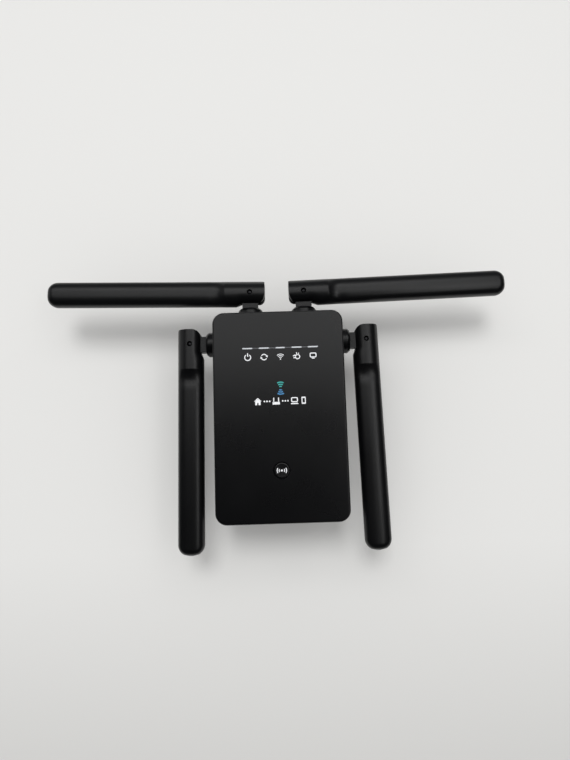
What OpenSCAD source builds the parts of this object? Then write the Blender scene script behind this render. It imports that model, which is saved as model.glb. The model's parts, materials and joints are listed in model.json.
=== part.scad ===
// Plug-in wireless range extender with four swivelling, folding antennas.
// Origin: centre of the plug's face, the plane that rests against the wall outlet.
// +Z is up, -Y points out of the wall towards the user, +X is right seen from the front.

/* [Housing] */
// Width of the housing
body_w = 66; // [60:0.5:80]
// Height of the housing
body_h = 105.4; // [96:0.1:130]
// Depth of the housing, front face to back face
body_d = 27; // [25:0.5:40]
// Radius of the four upright corners
corner_r = 5.8; // [3:0.1:12]
// Bevel around the front face
edge_bevel = 0.7; // [0.3:0.1:1.5]
// Wall thickness
wall = 1.8; // [1.5:0.1:2.5]
// Depth of the front cover, the rest belongs to the rear cover
front_depth = 7; // [5:0.5:10]
// Height of the plug above the middle of the housing
plug_rise = 8; // [0:0.5:15]
// How far the plug's face stands out of the back wall
plug_stand = 2; // [0.5:0.1:5]

/* [Front face] */
// Width of the light slit
slit_w = 38.3; // [20:0.1:50]
// Height of the light slit
slit_h = 0.8; // [0.5:0.1:2]
// Distance from the top edge down to the light slit
slit_drop = 18.8; // [10:0.1:40]
// Sideways offset of the light slit
slit_x = 1; // [-3:0.1:3]
// Number of status lights behind the slit
led_count = 5; // [3:1:7]
// Distance between neighbouring status lights
led_pitch = 8.2; // [5:0.1:12]
// Diameter of the round pairing button
button_d = 7.6; // [5:0.1:12]
// Distance from the top edge down to the button's centre
button_drop = 79.8; // [40:0.1:95]
// Width of the bevel around the pairing button
button_moat = 0.5; // [0.2:0.1:1]
// Press travel of the pairing button
button_travel = 0.6; // [0.3:0.1:1]

/* [Antennas] */
// Distance of each top antenna from the middle
top_antenna_x = 14.1; // [12:0.1:22]
// Distance of each side antenna below the top edge
side_antenna_drop = 13.9; // [12:0.1:20]
// Distance from the housing wall to the hinge pin
pin_reach = 12.7; // [12:0.1:16]
// Length from the hinge pin to the tip
arm_reach = 107.3; // [80:0.1:180]
// Width of the antenna paddle
arm_w = 13.5; // [12:0.1:18]
// Thickness of the antenna paddle
arm_t = 9; // [7:0.1:11]
// Length from the hinge pin back to the knuckle's end
heel_reach = 7.7; // [7:0.1:9]
// Fold of the top left antenna, 0 is straight out and 90 is fully folded
top_left_fold = 88.5; // [0:0.25:90]
// Fold of the top right antenna
top_right_fold = 88.75; // [0:0.25:90]
// Fold of the left side antenna
side_left_fold = 89.5; // [0:0.25:90]
// Fold of the right side antenna
side_right_fold = 89; // [0:0.25:90]

/* [Plug] */
// Distance between the two blades
blade_pitch = 12.7; // [12.7:0.1:19]
// Length of the blades beyond the plug's face
blade_len = 17.5; // [15:0.1:22]
// Height of each blade
blade_h = 6.35; // [6:0.05:8]
// Thickness of each blade
blade_t = 1.5; // [1.4:0.05:2]

/* [Hidden] */
$fn = 64;
eps = 0.01;
seam_gap = 0.2;
body_gap = 0.3;
run_gap = 0.05;
touch_gap = 0.02;

mid_z = -plug_rise;
top_z = mid_z + body_h / 2;
bottom_z = mid_z - body_h / 2;
back_y = -plug_stand;
front_y = back_y - body_d;
seam_y = front_y + front_depth;
inner_front_y = front_y + wall;
inner_back_y = back_y - wall;
inner_w = body_w - 2 * wall;
inner_h = body_h - 2 * wall;
inner_r = corner_r - wall;
antenna_y = (front_y + back_y) / 2;
side_antenna_z = top_z - side_antenna_drop;
slit_z = top_z - slit_drop;
button_z = top_z - button_drop;

lip_t = 1.2;
lip_depth = 2;
lip_root = 1;

board_t = 1.6;
board_front_y = inner_front_y + 3.8;
board_back_y = board_front_y + board_t;
board_w = inner_w - 2 * lip_t - 1;
board_top_z = top_z - wall - 2;
board_bottom_z = bottom_z + wall + lip_t + 0.8;
notch = 8.4;

case_post_x = body_w / 2 - 7.4;
case_post_z = body_h / 2 - 6;
case_post_y = -12;
case_seat_y = case_post_y + 2;
post_r = 2.6;
pilot_r = 1.15;
tube_r = 3.4;
tube_bore_r = 2.6;
screw_shank_r = 1.1;
screw_clear_r = 1.3;
screw_head_r = 2.2;
screw_head_h = 1.5;
screw_len = 8;
recess_reach = 0.6;
recess_depth = 0.55;
recess_half_w = 0.25;
small_head_r = 1.9;
small_head_h = 1.2;
small_len = 3.2;
board_post_x = 25.5;
board_post_zs = [-33, 9];

guide_side = 1.5;
guide_rise = 1.2;
guide_flange = 1;
guide_post_r = 1.3;
guide_inset = 0.1;
led_w = 1.6;
led_h = 0.8;
led_t = 0.7;
led_gap = 0.3;

shield_z = 24.5;
shield_w = 23;
shield_h = 24;
shield_skin = 0.4;
shield_back_y = board_back_y + 2.4;
pad_w = 18;
pad_back_y = shield_back_y + 0.5;
sink_w = 21;
sink_h = 22;
sink_base_y = pad_back_y + 1.5;
sink_back_y = sink_base_y + 4.6;
fin_count = 6;
fin_pitch = 3.72;
fin_t = 1.2;

button_inset = 0.1;
button_flange = 0.9;
button_flange_back = 1.1;
button_back = 1.4;
switch_w = 6;
switch_t = 1.6;
switch_skin = 0.4;
stem_r = 1.2;

power_w = 52;
power_top_z = 15;
power_bottom_z = -22;
power_back_y = -6.6;
power_front_y = power_back_y - board_t;
power_post_x = 23;
power_post_zs = [-19, 12];

jack_w = 16;
jack_h = 13.3;
jack_d = 19;
jack_x = 13.4;
jack_open_w = 11.7;
jack_open_h = 6.8;
jack_open_d = 14;
jack_latch_w = 6;
jack_latch_h = 3;
jack_front_y = board_back_y;
jack_open_y = jack_front_y + 2;
jack_window_over = 2;

reset_hole_r = 0.75;
reset_y = board_back_y + 3;
reset_travel = 0.3;
reset_switch_z = bottom_z + wall + 2;
reset_switch_h = 3.9;
reset_switch_d = 5;
plunger_r = 0.9;
plunger_len = 3.4;
plunger_bore = 2.4;

carrier_w = 32;
carrier_h = 24;
carrier_r = 3;
carrier_flange = 1.6;
carrier_rim = 2;
blade_tip = 1.5;
blade_tip_t = 0.9;
blade_shoulder = 0.7;
blade_hole_y = 11.7;
blade_hole_r = 1.6;
strap_t = 0.8;
strap_w = 4;
strap_h = 6;

part_gap = 0.2;
core_x = 10.5;
core_z = -1.5;
core_w = 15;
core_d = 10.5;
core_yoke = 2;
core_leg = 2.5;
coil_over = 1.5;
mains_cap_x = -13;
mains_cap_z = -10;
mains_cap_r = 5;
mains_cap_h = 17;
output_cap_xs = [3, 12];
output_cap_z = -21;
output_cap_r = 3.6;
output_cap_h = 9.5;
fuse_x = -21.5;
fuse_z = -5;
fuse_r = 2;
fuse_h = 7;
rectifier_x = -20.5;
rectifier_z = -11;
rectifier_w = 3;
rectifier_h = 6;
choke_x = -9;
choke_z = -16.5;
choke_r = 4.4;
choke_bore_r = 1.6;
choke_t = 3.6;
link_x = 22;
link_z = -3;
link_w = 4;
link_h = 10;
link_t = 2.5;
link_sink = 0.5;
link_pins = 4;
link_pin_pitch = 2.54;
link_pin_r = 0.35;

spigot_r = 4.1;
spigot_in = 3.4;
ring_t = 1;
ring_r = 5.6;
ring_groove_r = 3.5;
neck_r = 4.3;
neck_top = 4.45;
collar_r = 6.45;
collar_t = 2.7;
collar_top = 4.35;
collar_step = 0.4;
collar_step_in = 0.8;
cone_low_in = 0.2;
cone_high_out = 1.1;
tongue_rib_w = 0.45;
tongue_rib_h = 0.2;
tongue_rib_top = 9;
tongue_rib_pitch = 1.15;
tongue_rib_count = 7;
tongue_t = 4.4;
tongue_w = 8.3;
lead_r = 0.7;
lead_bore_r = 1.2;
lead_bend = 3;
lead_past = 1.6;
lead_plug_r = 1.4;
lead_plug_t = 1.2;

pin_r = 1.25;
pin_sink = 0.9;
knuckle_r = 6.2;
knuckle_t = 11.8;
knuckle_side = 5.6;
knuckle_end = 13;
heel_round = 4.3;
heel_edge = 1.2;
slot_gap = 0.35;
scoop_low = 3.9;
scoop_start = 14.6;
scoop_end = 22;
shoulder_from = 4.9;
shoulder_to = 7.4;
tip_r = 5.6;
tip_side_r = 3.2;
paddle_corner = 3.9;
element_w = 8;
element_t = 0.8;
element_from = 24;
element_len = 74;
cavity_gap = 0.4;

vent_w = 1.6;
vent_len = 12;
vent_pitch = 5.2;
vent_count = 7;
vent_zs = [30, -48];
side_vent_z = mid_z - 22;
side_vent_pitch = 3.6;
side_vent_count = 7;
side_vent_len = 9;

label_z = -30;
label_w = 40;
label_h = 16;
label_r = 1.5;
label_t = 0.2;

arm_edge = [
  [-heel_reach - 1, knuckle_t / 2],
  [knuckle_end, knuckle_t / 2],
  [scoop_start, scoop_low],
  [scoop_end, arm_t / 2],
  [arm_reach - tip_side_r, arm_t / 2]
];
arm_folds = [top_left_fold, top_right_fold, side_left_fold, side_right_fold];

// ---- shared shapes ----

// Place of status light n along the slit.
function led_x(n) = (n - (led_count - 1) / 2) * led_pitch;

// Rounded rectangle centred on the origin, from squares and circles.
module plate_2d(w, h, r) {
  square([w - 2 * r, h], center = true);
  square([w, h - 2 * r], center = true);
  for (sx = [-1, 1])
    for (sy = [-1, 1])
      translate([sx * (w / 2 - r), sy * (h / 2 - r)])
        circle(r = r);
}

// Flat shape drawn as x and z, given depth from y0 to y1.
module slab(y0, y1) {
  translate([0, y1, 0])
    rotate([90, 0, 0])
      linear_extrude(height = y1 - y0)
        children();
}

// Box from two opposite corners.
module block(low, high) {
  translate(low)
    cube(high - low);
}

// Rod along Y from y0 to y1.
module rod_y(r, y0, y1) {
  translate([0, y1, 0])
    rotate([90, 0, 0])
      cylinder(h = y1 - y0, r = r);
}

// Rounded block whose front edge, at y0, has a straight bevel all round.
module bevelled_block(w, h, r, y0, y1, bevel) {
  slab(y0 + bevel, y1)
    plate_2d(w, h, r);
  for (sx = [-1, 1])
    for (sz = [-1, 1])
      translate([sx * (w / 2 - r), y0 + bevel, sz * (h / 2 - r)])
        rotate([90, 0, 0])
          cylinder(h = bevel, r1 = r, r2 = r - bevel);
  bevel_ridge(w, h - 2 * r, y0, bevel);
  rotate([0, 90, 0])
    bevel_ridge(h, w - 2 * r, y0, bevel);
}

// Ridge of width w that narrows towards y0, standing len tall along Z.
module bevel_ridge(w, len, y0, bevel) {
  translate([0, 0, -len / 2])
    linear_extrude(height = len)
      polygon([
        [-w / 2, y0 + bevel],
        [w / 2, y0 + bevel],
        [w / 2 - bevel, y0],
        [bevel - w / 2, y0]
      ]);
}

// Children at the four case screws.
module at_case_posts() {
  for (sx = [-1, 1])
    for (sz = [-1, 1])
      translate([sx * case_post_x, 0, mid_z + sz * case_post_z])
        children();
}

// Children at four points, mirrored left and right at two heights.
module at_pairs(x, zs) {
  for (sx = [-1, 1])
    for (z = zs)
      translate([sx * x, 0, z])
        children();
}

// Children in the frame of antenna i: origin on the housing wall, +Z outwards,
// +X along the fully folded arm.
module at_antenna(i) {
  if (i == 0)
    translate([-top_antenna_x, antenna_y, top_z])
      mirror([1, 0, 0])
        children();
  if (i == 1)
    translate([top_antenna_x, antenna_y, top_z])
      children();
  if (i == 2)
    translate([-body_w / 2, antenna_y, side_antenna_z])
      rotate([0, -90, 0])
        mirror([1, 0, 0])
          children();
  if (i == 3)
    translate([body_w / 2, antenna_y, side_antenna_z])
      rotate([0, 90, 0])
        children();
}

// Children in the frame of the arm of antenna i: origin on the pin, +X to the tip.
module at_arm(i) {
  at_antenna(i)
    translate([0, 0, pin_reach])
      rotate([0, arm_folds[i] - 90, 0])
        children();
}

// ---- housing ----

module front_cover() {
  color("#1d1e21")
    difference() {
      union() {
        difference() {
          translate([0, 0, mid_z])
            bevelled_block(body_w, body_h, corner_r, front_y, seam_y, edge_bevel);
          translate([0, 0, mid_z])
            slab(inner_front_y, seam_y + eps)
              plate_2d(inner_w, inner_h, inner_r);
        }
        at_case_posts()
          rod_y(post_r, inner_front_y - eps, case_post_y);
        at_pairs(board_post_x, board_post_zs)
          rod_y(post_r, inner_front_y - eps, board_front_y);
      }
      at_case_posts()
        rod_y(pilot_r, case_post_y - screw_len - 1, case_post_y + eps);
      at_pairs(board_post_x, board_post_zs)
        rod_y(pilot_r, inner_front_y, board_front_y + eps);
      translate([slit_x, 0, slit_z])
        slab(front_y - eps, inner_front_y + eps)
          square([slit_w, slit_h], center = true);
      translate([0, 0, button_z])
        button_hole();
    }
}

// Bore for the pairing button with a bevelled mouth.
module button_hole() {
  rod_y(button_d / 2, front_y - eps, inner_front_y + eps);
  translate([0, front_y + button_moat, 0])
    rotate([90, 0, 0])
      cylinder(
        h = button_moat + eps,
        r1 = button_d / 2,
        r2 = button_d / 2 + button_moat + eps
      );
}

module rear_cover() {
  color("#1b1c1f")
    difference() {
      union() {
        rear_shell();
        at_case_posts()
          rod_y(tube_r, case_post_y + seam_gap, inner_back_y + eps);
        at_pairs(power_post_x, power_post_zs)
          rod_y(post_r, power_back_y, inner_back_y + eps);
      }
      at_case_posts()
        rear_screw_hole();
      at_pairs(power_post_x, power_post_zs)
        rod_y(pilot_r, power_back_y - eps, inner_back_y - touch_gap);
      slab(inner_back_y - eps, back_y + eps)
        plate_2d(carrier_w + 2 * run_gap, carrier_h + 2 * run_gap, carrier_r + run_gap);
      for (i = [0:3])
        at_antenna(i)
          antenna_socket();
      jack_windows();
      translate([0, reset_y, bottom_z - eps])
        cylinder(h = wall + 2 * eps, r = reset_hole_r);
      rear_vents();
      side_vents();
    }
}

// Rear half of the case with the lip that enters the front cover.
module rear_shell() {
  translate([0, 0, mid_z]) {
    difference() {
      union() {
        rotate([0, 0, 180])
          bevelled_block(body_w, body_h, corner_r, -back_y, -seam_y - seam_gap, edge_bevel);
        slab(seam_y - lip_depth, seam_y + seam_gap + eps)
          plate_2d(inner_w - seam_gap, inner_h - seam_gap, inner_r - seam_gap / 2);
      }
      slab(seam_y + seam_gap + lip_root, inner_back_y)
        plate_2d(inner_w, inner_h, inner_r);
      slab(seam_y - lip_depth - eps, seam_y + seam_gap + lip_root + eps)
        plate_2d(inner_w - 2 * lip_t, inner_h - 2 * lip_t, inner_r - lip_t);
    }
  }
}

// Bore for a swivel foot, and room in the lip for its retaining ring.
module antenna_socket() {
  translate([0, 0, -wall - eps])
    cylinder(h = wall + 2 * eps, r = spigot_r + run_gap);
  translate([0, 0, -wall - 2 * lip_t])
    cylinder(h = 2 * lip_t, r = ring_r + body_gap);
}

// Clearance for a case screw and its head, entered from the back.
module rear_screw_hole() {
  rod_y(screw_clear_r, case_post_y - eps, back_y + eps);
  rod_y(tube_bore_r, case_seat_y, back_y + eps);
}

module jack_windows() {
  for (sx = [-1, 1])
    translate([sx * jack_x, 0, 0])
      block(
        [-jack_w / 2 - run_gap, jack_front_y - run_gap, bottom_z - eps],
        [jack_w / 2 + run_gap, jack_front_y + jack_h + run_gap, bottom_z + wall + jack_window_over]
      );
}

module rear_vents() {
  for (n = [0:vent_count - 1])
    translate([(n - (vent_count - 1) / 2) * vent_pitch, 0, 0])
      for (z = vent_zs)
        translate([0, 0, z])
          slab(inner_back_y - eps, back_y + eps)
            plate_2d(vent_w, vent_len, vent_w / 2 - eps);
}

module side_vents() {
  for (n = [0:side_vent_count - 1])
    translate([0, antenna_y, side_vent_z - (n - side_vent_count / 2) * side_vent_pitch])
      rotate([0, 90, 0])
        translate([0, 0, -body_w])
          linear_extrude(height = 2 * body_w)
            plate_2d(vent_w, side_vent_len, vent_w / 2 - eps);
}

module light_guide() {
  color("#d9dde2")
    translate([slit_x, 0, slit_z])
      union() {
        slab(front_y + guide_inset, inner_front_y + 2 * touch_gap)
          square([slit_w - 2 * run_gap, slit_h - 2 * run_gap], center = true);
        slab(inner_front_y + touch_gap, inner_front_y + guide_flange)
          square([slit_w + 2 * guide_side, slit_h + 2 * guide_rise], center = true);
        for (n = [0:led_count - 1])
          translate([led_x(n), 0, 0])
            rod_y(guide_post_r, inner_front_y + guide_flange - eps, board_front_y - led_t - led_gap);
      }
}

module case_screws() {
  color("#3b3d42")
    at_case_posts()
      translate([0, case_seat_y, 0])
        screw(screw_head_r, screw_head_h, screw_shank_r, screw_len);
}

// Pan head screw pointing to -Y, its head seated on y = 0, with a cross recess.
module screw(head_r, head_h, shank_r, len) {
  reach = head_r * recess_reach;
  difference() {
    union() {
      rod_y(head_r, touch_gap, head_h);
      rod_y(shank_r, -len, touch_gap + eps);
    }
    for (a = [0, 90])
      rotate([0, a, 0])
        block(
          [-reach, head_h * (1 - recess_depth), -recess_half_w],
          [reach, head_h + eps, recess_half_w]
        );
  }
}

module rating_label() {
  color("#c9ccd0")
    translate([0, 0, label_z])
      slab(back_y + touch_gap, back_y + label_t)
        plate_2d(label_w, label_h, label_r);
}

// ---- main board ----

module main_board() {
  color("#1f5a3a")
    difference() {
      slab(board_front_y, board_back_y)
        board_outline();
      at_pairs(board_post_x, board_post_zs)
        rod_y(screw_clear_r, board_front_y - eps, board_back_y + eps);
    }
}

module board_outline() {
  difference() {
    translate([0, (board_top_z + board_bottom_z) / 2])
      square([board_w, board_top_z - board_bottom_z], center = true);
    for (sx = [-1, 1])
      for (sz = [-1, 1])
        translate([sx * board_w / 2, mid_z + sz * body_h / 2])
          square([2 * notch, 2 * (notch + wall)], center = true);
  }
}

module wifi_shield() {
  color("#b9bcc0")
    translate([0, 0, shield_z])
      difference() {
        slab(board_back_y + touch_gap, shield_back_y)
          square([shield_w, shield_h], center = true);
        slab(board_back_y, shield_back_y - shield_skin)
          square([shield_w - 2 * shield_skin, shield_h - 2 * shield_skin], center = true);
      }
}

module thermal_pad() {
  color("#8fa7c4")
    translate([0, 0, shield_z])
      slab(shield_back_y + touch_gap, pad_back_y)
        square(pad_w, center = true);
}

module heat_sink() {
  color("#9da1a6")
    translate([0, 0, shield_z])
      union() {
        slab(pad_back_y + touch_gap, sink_base_y)
          square([sink_w, sink_h], center = true);
        for (n = [0:fin_count - 1])
          translate([(n - (fin_count - 1) / 2) * fin_pitch, 0, 0])
            slab(sink_base_y - eps, sink_back_y)
              square([fin_t, sink_h], center = true);
      }
}

module status_leds() {
  color("#e7e3c8")
    for (n = [0:led_count - 1])
      translate([slit_x + led_x(n), 0, slit_z])
        slab(board_front_y - led_t, board_front_y - touch_gap)
          square([led_w, led_h], center = true);
}

module pair_switch() {
  color("#2b2c2f")
    translate([0, 0, button_z])
      difference() {
        slab(board_front_y - touch_gap - switch_t, board_front_y - touch_gap)
          square(switch_w, center = true);
        rod_y(stem_r + run_gap, board_front_y - 2 * switch_t, board_front_y - switch_skin);
      }
}

module reset_switch() {
  color("#2b2c2f")
    difference() {
      block(
        [-switch_w / 2, board_back_y + touch_gap, reset_switch_z],
        [switch_w / 2, board_back_y + reset_switch_d, reset_switch_z + reset_switch_h]
      );
      translate([0, reset_y, reset_switch_z - eps])
        cylinder(h = plunger_bore, r = plunger_r + run_gap);
    }
}

// Eight-contact socket with its mouth at the bottom of the case.
module jack(x) {
  difference() {
    translate([x, 0, 0])
      block(
        [-jack_w / 2, jack_front_y + touch_gap, bottom_z],
        [jack_w / 2, jack_front_y + jack_h, bottom_z + jack_d]
      );
    translate([x, jack_open_y, bottom_z - eps]) {
      block([-jack_open_w / 2, 0, 0], [jack_open_w / 2, jack_open_h, jack_open_d]);
      block([-jack_latch_w / 2, 0, 0], [jack_latch_w / 2, jack_open_h + jack_latch_h, jack_open_d]);
    }
  }
}

module wan_jack() {
  color("#55585d")
    jack(-jack_x);
}

module lan_jack() {
  color("#4d5055")
    jack(jack_x);
}

module board_screws() {
  color("#a9acb0")
    at_pairs(board_post_x, board_post_zs)
      translate([0, board_back_y, 0])
        screw(small_head_r, small_head_h, screw_shank_r, small_len);
}

// ---- power supply ----

module plug_carrier() {
  color("#202124")
    difference() {
      union() {
        slab(inner_back_y - carrier_flange, 0)
          plate_2d(carrier_w, carrier_h, carrier_r);
        slab(inner_back_y - carrier_flange, inner_back_y - touch_gap)
          plate_2d(carrier_w + 2 * carrier_rim, carrier_h + 2 * carrier_rim, carrier_r);
      }
      for (sx = [-1, 1])
        translate([sx * blade_pitch / 2, 0, 0])
          slab(inner_back_y - carrier_flange - eps, eps)
            square([blade_t + 2 * touch_gap, blade_h + 2 * touch_gap], center = true);
    }
}

module plug_blade(x) {
  difference() {
    translate([x, 0, 0])
      union() {
        slab(inner_back_y - carrier_flange, blade_len - blade_tip)
          square([blade_t, blade_h], center = true);
        slab(blade_len - blade_tip - eps, blade_len)
          square([blade_tip_t, blade_h - 2 * blade_shoulder], center = true);
      }
    translate([x - blade_t, blade_hole_y, 0])
      rotate([0, 90, 0])
        cylinder(h = 2 * blade_t, r = blade_hole_r);
  }
}

module plug_blade_left() {
  color("#c3b27a")
    plug_blade(-blade_pitch / 2);
}

module plug_blade_right() {
  color("#c3b27a")
    plug_blade(blade_pitch / 2);
}

// Spring strap from a blade's tail to the power board.
module blade_contact(side) {
  tail_y = inner_back_y - carrier_flange;
  translate([side * blade_pitch / 2, 0, 0]) {
    slab(tail_y - strap_t, tail_y - touch_gap)
      square([strap_w, strap_h], center = true);
    block(
      [-strap_w / 2, power_back_y + touch_gap, -strap_h / 2],
      [strap_w / 2, tail_y - strap_t + eps, strap_t - strap_h / 2]
    );
  }
}

module blade_contact_left() {
  color("#b98a4a")
    blade_contact(-1);
}

module blade_contact_right() {
  color("#b98a4a")
    blade_contact(1);
}

module power_board() {
  color("#274f63")
    difference() {
      block(
        [-power_w / 2, power_front_y, power_bottom_z],
        [power_w / 2, power_back_y - touch_gap, power_top_z]
      );
      at_pairs(power_post_x, power_post_zs)
        rod_y(screw_clear_r, power_front_y - eps, power_back_y + eps);
    }
}

module transformer_core() {
  color("#3a3a3c")
    translate([core_x, 0, core_z])
      difference() {
        slab(power_front_y - core_d, power_front_y - touch_gap)
          square(core_w, center = true);
        slab(power_front_y - core_d + core_yoke, power_front_y - core_yoke)
          square([core_w - 2 * core_leg, core_w + 2 * eps], center = true);
      }
}

module transformer_coil() {
  far_y = power_front_y - core_d + core_yoke + part_gap;
  color("#c79a35")
    translate([core_x, 0, core_z])
      slab(far_y, power_front_y - core_yoke - part_gap)
        square([core_w - 2 * core_leg - 2 * part_gap, core_w + 2 * coil_over], center = true);
}

module mains_capacitor() {
  color("#23354f")
    translate([mains_cap_x, power_front_y - mains_cap_r - part_gap, mains_cap_z])
      cylinder(h = mains_cap_h, r = mains_cap_r);
}

module output_capacitors() {
  color("#2c2f36")
    for (x = output_cap_xs)
      translate([x, power_front_y - output_cap_r - part_gap, output_cap_z])
        cylinder(h = output_cap_h, r = output_cap_r);
}

module fuse() {
  color("#d8d2b8")
    translate([fuse_x, power_front_y - fuse_r - part_gap, fuse_z])
      cylinder(h = fuse_h, r = fuse_r);
}

module rectifier() {
  color("#26272a")
    translate([rectifier_x, 0, rectifier_z])
      slab(power_front_y - rectifier_w, power_front_y - touch_gap)
        square([rectifier_w, rectifier_h], center = true);
}

module choke() {
  near_y = power_front_y - 2 * part_gap;
  color("#6b4a2b")
    translate([choke_x, 0, choke_z])
      difference() {
        rod_y(choke_r, near_y - choke_t, near_y);
        rod_y(choke_bore_r, near_y - choke_t - eps, near_y + eps);
      }
}

// Pin header that carries the low voltage from the power board to the main board.
module board_link() {
  color("#8c8f94")
    translate([link_x, 0, link_z])
      union() {
        slab(board_back_y + touch_gap, board_back_y + link_t)
          square([link_w, link_h], center = true);
        slab(power_front_y - link_t, power_front_y - touch_gap)
          square([link_w, link_h], center = true);
        for (n = [0:link_pins - 1])
          translate([0, 0, (n - (link_pins - 1) / 2) * link_pin_pitch])
            rod_y(
              link_pin_r,
              board_back_y + link_t - link_sink,
              power_front_y - link_t + link_sink
            );
      }
}

module power_screws() {
  color("#a9acb0")
    at_pairs(power_post_x, power_post_zs)
      translate([0, power_front_y, 0])
        rotate([0, 0, 180])
          screw(small_head_r, small_head_h, screw_shank_r, small_len);
}

// ---- buttons ----

module pair_button() {
  color("#242528")
    translate([0, 0, button_z])
      union() {
        rod_y(button_d / 2 - run_gap, front_y + button_inset, inner_front_y + body_gap + eps);
        rod_y(
          button_d / 2 + button_flange,
          inner_front_y + body_gap,
          inner_front_y + button_flange_back
        );
        rod_y(stem_r, inner_front_y + button_flange_back - eps, inner_front_y + button_back);
      }
}

module pair_switch_stem() {
  color("#c9c9c4")
    translate([0, 0, button_z])
      rod_y(
        stem_r,
        inner_front_y + button_back + touch_gap,
        board_front_y - switch_skin - button_travel - body_gap
      );
}

module reset_plunger() {
  color("#c9c9c4")
    translate([0, reset_y, bottom_z + wall + body_gap])
      cylinder(h = plunger_len, r = plunger_r);
}

// ---- antennas ----

// Fixed pigtail: from inside the swivel, around one bend and onto the board.
module antenna_lead(i) {
  drop = wall + spigot_in + lead_past;
  plane_y = antenna_y - board_back_y;
  color("#1a1a1c")
    at_antenna(i)
      union() {
        translate([0, 0, -drop])
          cylinder(h = drop - 1, r = lead_r);
        translate([0, -lead_bend, -drop])
          rotate([0, -90, 0])
            rotate([0, 0, 90])
              rotate_extrude(angle = 90)
                translate([lead_bend, 0])
                  circle(r = lead_r);
        translate([0, 0, -drop - lead_bend]) {
          rod_y(lead_r, lead_plug_t / 2 - plane_y, -lead_bend);
          rod_y(lead_plug_r, touch_gap - plane_y, lead_plug_t - plane_y);
        }
      }
}

// Swivelling foot: spigot in the wall, collar, groove, bevelled flange, ribbed hinge tongue.
module antenna_base(i) {
  cone_z = body_gap + collar_t + collar_step - eps;
  color("#1c1d20")
    at_antenna(i)
      difference() {
        union() {
          translate([0, 0, -wall - spigot_in])
            cylinder(h = wall + spigot_in + 1, r = spigot_r);
          translate([0, 0, body_gap])
            cylinder(h = collar_t, r = collar_r);
          translate([0, 0, body_gap + collar_t - eps])
            cylinder(h = collar_step, r = collar_r - collar_step_in);
          translate([0, 0, cone_z])
            cylinder(
              h = collar_top - cone_z,
              r1 = collar_r - cone_low_in,
              r2 = neck_r + cone_high_out
            );
          cylinder(h = neck_top, r = neck_r);
          for (n = [0:tongue_rib_count - 1])
            translate([(n - (tongue_rib_count - 1) / 2) * tongue_rib_pitch, 0, 0])
              block(
                [-tongue_rib_w / 2, -tongue_t / 2 - tongue_rib_h, neck_top - 1],
                [tongue_rib_w / 2, tongue_t / 2 + tongue_rib_h, tongue_rib_top]
              );
          block(
            [-tongue_w / 2, -tongue_t / 2, neck_top - 1],
            [tongue_w / 2, tongue_t / 2, pin_reach]
          );
          translate([0, 0, pin_reach])
            rod_y(tongue_w / 2, -tongue_t / 2, tongue_t / 2);
        }
        translate([0, 0, pin_reach])
          rod_y(pin_r + run_gap, -tongue_t, tongue_t);
        translate([0, 0, -wall - spigot_in - eps])
          cylinder(h = wall + spigot_in + 2, r = lead_bore_r);
        ring_groove();
      }
}

module ring_groove() {
  translate([0, 0, -wall - body_gap - ring_t - run_gap])
    difference() {
      cylinder(h = ring_t + 2 * run_gap, r = spigot_r + 1);
      translate([0, 0, -eps])
        cylinder(h = ring_t + 1, r = ring_groove_r);
    }
}

module retaining_ring(i) {
  color("#8a8d91")
    at_antenna(i)
      translate([0, 0, -wall - body_gap - ring_t])
        difference() {
          cylinder(h = ring_t, r = ring_r);
          translate([0, 0, -eps])
            cylinder(h = ring_t + 2 * eps, r = ring_groove_r + run_gap);
        }
}

// Outline of the arm seen along the pin: x towards the tip, z away from the housing.
module arm_outline() {
  half = arm_w / 2;
  union() {
    translate([-heel_reach + heel_round, -knuckle_side])
      square([shoulder_from + heel_reach - heel_round, half + knuckle_side]);
    translate([-heel_reach, -knuckle_side + heel_round])
      square([heel_reach, half + knuckle_side - heel_round - heel_edge]);
    translate([-heel_reach + heel_edge, -knuckle_side + heel_round])
      square([heel_reach, half + knuckle_side - heel_round]);
    translate([-heel_reach + heel_round, -knuckle_side + heel_round])
      circle(r = heel_round);
    translate([-heel_reach + heel_edge, half - heel_edge])
      circle(r = heel_edge);
    polygon([
      [shoulder_from - 1, half],
      [shoulder_from - 1, -knuckle_side],
      [shoulder_from, -knuckle_side],
      [shoulder_to, -half],
      [shoulder_to + 1, -half],
      [shoulder_to + 1, half]
    ]);
    translate([shoulder_to, -half])
      square([arm_reach - shoulder_to - tip_r, arm_w]);
    translate([shoulder_to, -half + tip_r])
      square([arm_reach - shoulder_to, arm_w - 2 * tip_r]);
    for (s = [-1, 1])
      translate([arm_reach - tip_r, s * (half - tip_r)])
        circle(r = tip_r);
  }
}

// Outline of the arm seen from its edge: x towards the tip, y across its thickness.
// arm_edge gives its half-thickness along its length, as [x, y] points.
module arm_profile() {
  last = len(arm_edge) - 1;
  near_edge = [for (p = arm_edge) [p[0], -p[1]]];
  far_edge = [for (n = [0:last]) arm_edge[last - n]];
  polygon(concat(near_edge, far_edge));
  for (s = [-1, 1])
    translate([arm_reach - tip_side_r, s * (arm_t / 2 - tip_side_r)])
      circle(r = tip_side_r);
  translate([scoop_end, tip_side_r - arm_t / 2])
    square([arm_reach - scoop_end, arm_t - 2 * tip_side_r]);
}

module arm_solid() {
  intersection() {
    slab(-knuckle_t, knuckle_t)
      arm_outline();
    translate([0, 0, -arm_w])
      linear_extrude(height = 2 * arm_w)
        arm_profile();
    union() {
      translate([-heel_reach - 1, 0, (arm_w / 2 - knuckle_side) / 2])
        rotate([0, 90, 0])
          cylinder(h = scoop_start + heel_reach + 1, r = knuckle_r);
      translate([shoulder_from - 0.5, 0, 0])
        rotate([90, 0, 90])
          linear_extrude(height = arm_reach)
            plate_2d(arm_t, arm_w, paddle_corner);
    }
  }
}

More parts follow.
